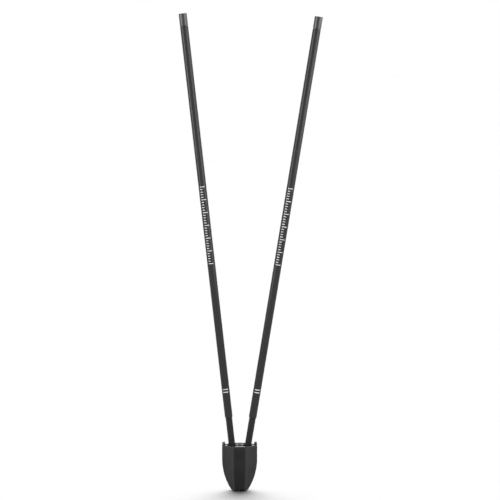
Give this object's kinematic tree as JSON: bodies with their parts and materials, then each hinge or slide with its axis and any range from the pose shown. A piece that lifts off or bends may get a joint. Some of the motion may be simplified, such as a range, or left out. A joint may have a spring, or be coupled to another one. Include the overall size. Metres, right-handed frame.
{
  "type": "folding v-rod alignment aid",
  "caption": "Slim black rods in a V, each on its own friction hinge in a small bullet-shaped holder, opened and closed by hand.",
  "frame": {"origin": "centre of the flat face at the holder's nose end", "axes": "+Z from the nose up the middle of the V, +X to the right-hand rod, the front facet faces -Y"},
  "size_m": [0.1416, 0.016, 0.4867],
  "materials": {
    "holder_black": "fine matte black coat",
    "insert_brass": "turned",
    "core_polymer": "moulded, satin",
    "frame_steel": "stamped and tumbled",
    "plate_gloss": "polished",
    "screw_black": "black oxide, satin",
    "pin_steel": "ground",
    "spring_steel": "tempered, satin",
    "bush_polymer": "natural acetal, satin",
    "washer_polymer": "fibre-filled, matte",
    "arm_black": "black anodised, smooth satin",
    "tube_black": "black anodised, drawn satin, white printed marks",
    "cap_plastic": "moulded, satin"
  },
  "bodies": {
    "holder": {"holder_shell": "holder_black", "threaded_insert": "insert_brass", "hinge_core": "core_polymer", "front_cheek": "frame_steel", "back_cheek": "frame_steel", "top_plate": "plate_gloss", "centre_screw": "screw_black", "left_rivet": "frame_steel", "right_rivet": "frame_steel", "left_pin": "pin_steel", "right_pin": "pin_steel", "left_pin_clip": "spring_steel", "right_pin_clip": "spring_steel", "left_friction_washer": "washer_polymer", "right_friction_washer": "washer_polymer", "left_spring_washer": "spring_steel", "right_spring_washer": "spring_steel"},
    "left_rod": {"left_bush": "bush_polymer", "left_arm": "arm_black", "left_tube": "tube_black", "left_end_cap": "cap_plastic"},
    "right_rod": {"right_bush": "bush_polymer", "right_arm": "arm_black", "right_tube": "tube_black", "right_end_cap": "cap_plastic"}
  },
  "joints": [
    {"name": "left_rod_pivot", "type": "hinge", "parent": "holder", "child": "left_rod", "pos_m": [-0.00615, 0, 0.0325], "axis": [0, -1, 0], "range_deg": [-6.2, 4.3]},
    {"name": "right_rod_pivot", "type": "hinge", "parent": "holder", "child": "right_rod", "pos_m": [0.00615, 0, 0.0325], "axis": [0, 1, 0], "range_deg": [-9.1, 1.4]}
  ]
}
